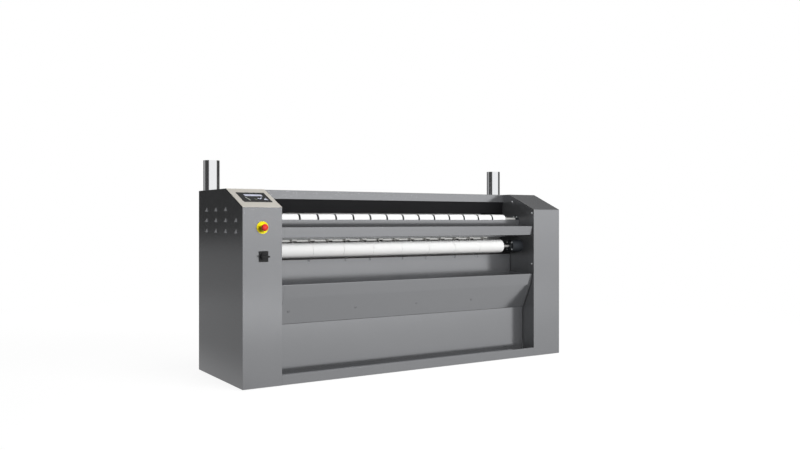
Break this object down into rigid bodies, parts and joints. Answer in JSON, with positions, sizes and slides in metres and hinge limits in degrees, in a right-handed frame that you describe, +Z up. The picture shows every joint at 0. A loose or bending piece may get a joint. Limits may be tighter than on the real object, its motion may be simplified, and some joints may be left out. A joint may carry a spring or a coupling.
{
  "type": "flatwork ironer",
  "caption": "Laundry flatwork ironer with a heated roll and ironing belts, front feed tray and linen trough between two cabinets with exhaust pipes.",
  "frame": {"origin": "centre of the bounding box in X and Y, on the floor under the levelling feet", "axes": "+X to the operator's right along the roll, +Y from the feed side to the rear, +Z up"},
  "size_m": [2.398, 0.812, 1.32],
  "materials": {
    "painted_coat": "satin silver-grey coating",
    "frame_paint": "satin dark grey",
    "machined_steel": "fine turned",
    "galvanised_steel": "zinc coated",
    "roll_steel": "polished",
    "aluminium": "satin",
    "bezel_foil": "satin champagne",
    "keypad_glass": "gloss",
    "white_belt": "woven, heat resistant",
    "drive_rubber": "matte",
    "cast_housing": "painted casting",
    "switchgear_plastic": "matte",
    "black_plastic": "fine grain",
    "red_plastic": "semi gloss",
    "yellow_plastic": "matte",
    "gland_plastic": "matte",
    "foot_steel": "zinc coated",
    "black_coat": "satin black coating",
    "stainless_steel": "bright rolled",
    "black_casting": "black painted casting"
  },
  "bodies": {
    "machine": {"back_panel": "painted_coat", "bay_end_caps": "painted_coat", "cable_gland": "gland_plastic", "console_bezel": "bezel_foil", "drive_gearbox": "cast_housing", "drive_motor": "cast_housing", "electrical_plate": "galvanised_steel", "element_support": "machined_steel", "exhaust_pipes": "stainless_steel", "fan_housings": "galvanised_steel", "fan_motors": "aluminium", "feed_belts": "white_belt", "feed_drive_belt": "drive_rubber", "feed_tray": "painted_coat", "front_base_rail": "painted_coat", "front_bearings": "black_casting", "heating_elements": "machined_steel", "hood": "painted_coat", "inner_panels": "painted_coat", "ironing_belts": "white_belt", "keypad": "keypad_glass", "left_front_cover": "painted_coat", "left_side_frame": "frame_paint", "left_side_panel": "painted_coat", "left_top_cover": "painted_coat", "levelling_feet": "foot_steel", "linen_trough": "painted_coat", "lower_panel": "painted_coat", "rear_base_rail": "painted_coat", "rear_covers": "painted_coat", "rear_panel": "painted_coat", "right_front_cover": "painted_coat", "right_side_frame": "frame_paint", "right_side_panel": "painted_coat", "right_top_cover": "painted_coat", "roll_bearings": "cast_housing", "roller_bearings": "machined_steel", "stop_collar": "yellow_plastic", "stripper_bar": "aluminium", "stripper_fingers": "machined_steel", "stripper_holders": "machined_steel", "switch_plate": "black_plastic", "switchgear": "switchgear_plastic", "tie_beams": "frame_paint"},
    "heated_roll": {"heated_roll": "roll_steel", "roll_pulley": "aluminium"},
    "inner_feed_roller": {"inner_feed_roller": "machined_steel", "feed_pulley": "aluminium"},
    "feed_roller": {"feed_roller": "machined_steel"},
    "lower_roller": {"lower_roller": "machined_steel"},
    "guide_roller": {"guide_roller": "machined_steel"},
    "press_roller": {"press_roller": "machined_steel"},
    "rear_roller": {"rear_roller": "machined_steel"},
    "tension_arms": {"tension_arms": "frame_paint"},
    "tension_roller": {"tension_roller": "machined_steel"},
    "left_fan": {"left_fan_wheel": "galvanised_steel"},
    "right_fan": {"right_fan_wheel": "galvanised_steel"},
    "finger_guard": {"finger_guard": "black_coat"},
    "stop_button": {"stop_button": "red_plastic"},
    "main_switch": {"switch_knob": "black_plastic"}
  },
  "joints": [
    {"name": "roll_spin", "type": "hinge", "parent": "machine", "child": "heated_roll", "pos_m": [0, 0.07, 0.815], "axis": [-1, 0, 0], "continuous": true},
    {"name": "inner_feed_roller_spin", "type": "hinge", "parent": "machine", "child": "inner_feed_roller", "pos_m": [0, -0.06, 0.962], "axis": [-1, 0, 0], "continuous": true},
    {"name": "feed_roller_spin", "type": "hinge", "parent": "machine", "child": "feed_roller", "pos_m": [0, -0.17, 0.954], "axis": [-1, 0, 0], "continuous": true},
    {"name": "lower_roller_spin", "type": "hinge", "parent": "machine", "child": "lower_roller", "pos_m": [0, -0.207, 0.766], "axis": [-1, 0, 0], "continuous": true},
    {"name": "guide_roller_spin", "type": "hinge", "parent": "machine", "child": "guide_roller", "pos_m": [0, -0.085, 0.7], "axis": [-1, 0, 0], "continuous": true},
    {"name": "press_roller_spin", "type": "hinge", "parent": "machine", "child": "press_roller", "pos_m": [0, 0.03485, 1.01432], "axis": [-1, 0, 0], "continuous": true},
    {"name": "rear_roller_spin", "type": "hinge", "parent": "machine", "child": "rear_roller", "pos_m": [0, 0.29, 0.86], "axis": [-1, 0, 0], "continuous": true},
    {"name": "tension_arm_lift", "type": "hinge", "parent": "machine", "child": "tension_arms", "pos_m": [0, 0.254, 0.619], "axis": [-1, 0, 0], "range_deg": [0, 12]},
    {"name": "tension_roller_spin", "type": "hinge", "parent": "tension_arms", "child": "tension_roller", "pos_m": [0, 0.16, 0.585], "axis": [-1, 0, 0], "continuous": true},
    {"name": "left_fan_spin", "type": "hinge", "parent": "machine", "child": "left_fan", "pos_m": [-1.128, 0.23, 0.94], "axis": [1, 0, 0], "continuous": true},
    {"name": "right_fan_spin", "type": "hinge", "parent": "machine", "child": "right_fan", "pos_m": [1.128, 0.23, 0.94], "axis": [1, 0, 0], "continuous": true},
    {"name": "finger_guard_swing", "type": "hinge", "parent": "machine", "child": "finger_guard", "pos_m": [0, -0.0246, 1.09], "axis": [1, 0, 0], "range_deg": [0, 10]},
    {"name": "stop_button_press", "type": "slide", "parent": "machine", "child": "stop_button", "axis": [0, 1, 0], "range_m": [0, 0.005]},
    {"name": "main_switch_turn", "type": "hinge", "parent": "machine", "child": "main_switch", "pos_m": [-1.0615, -0.36, 0.742], "axis": [0, 1, 0], "range_deg": [0, 90]}
  ],
  "couplings": [
    {"joint": "inner_feed_roller_spin", "follows": "roll_spin", "ratio": 6.8969},
    {"joint": "feed_roller_spin", "follows": "roll_spin", "ratio": 5.47},
    {"joint": "lower_roller_spin", "follows": "roll_spin", "ratio": -3.8345},
    {"joint": "guide_roller_spin", "follows": "roll_spin", "ratio": 12.087},
    {"joint": "press_roller_spin", "follows": "roll_spin", "ratio": -4.7252},
    {"joint": "rear_roller_spin", "follows": "roll_spin", "ratio": -4.7252},
    {"joint": "tension_roller_spin", "follows": "roll_spin", "ratio": -4.7252}
  ]
}
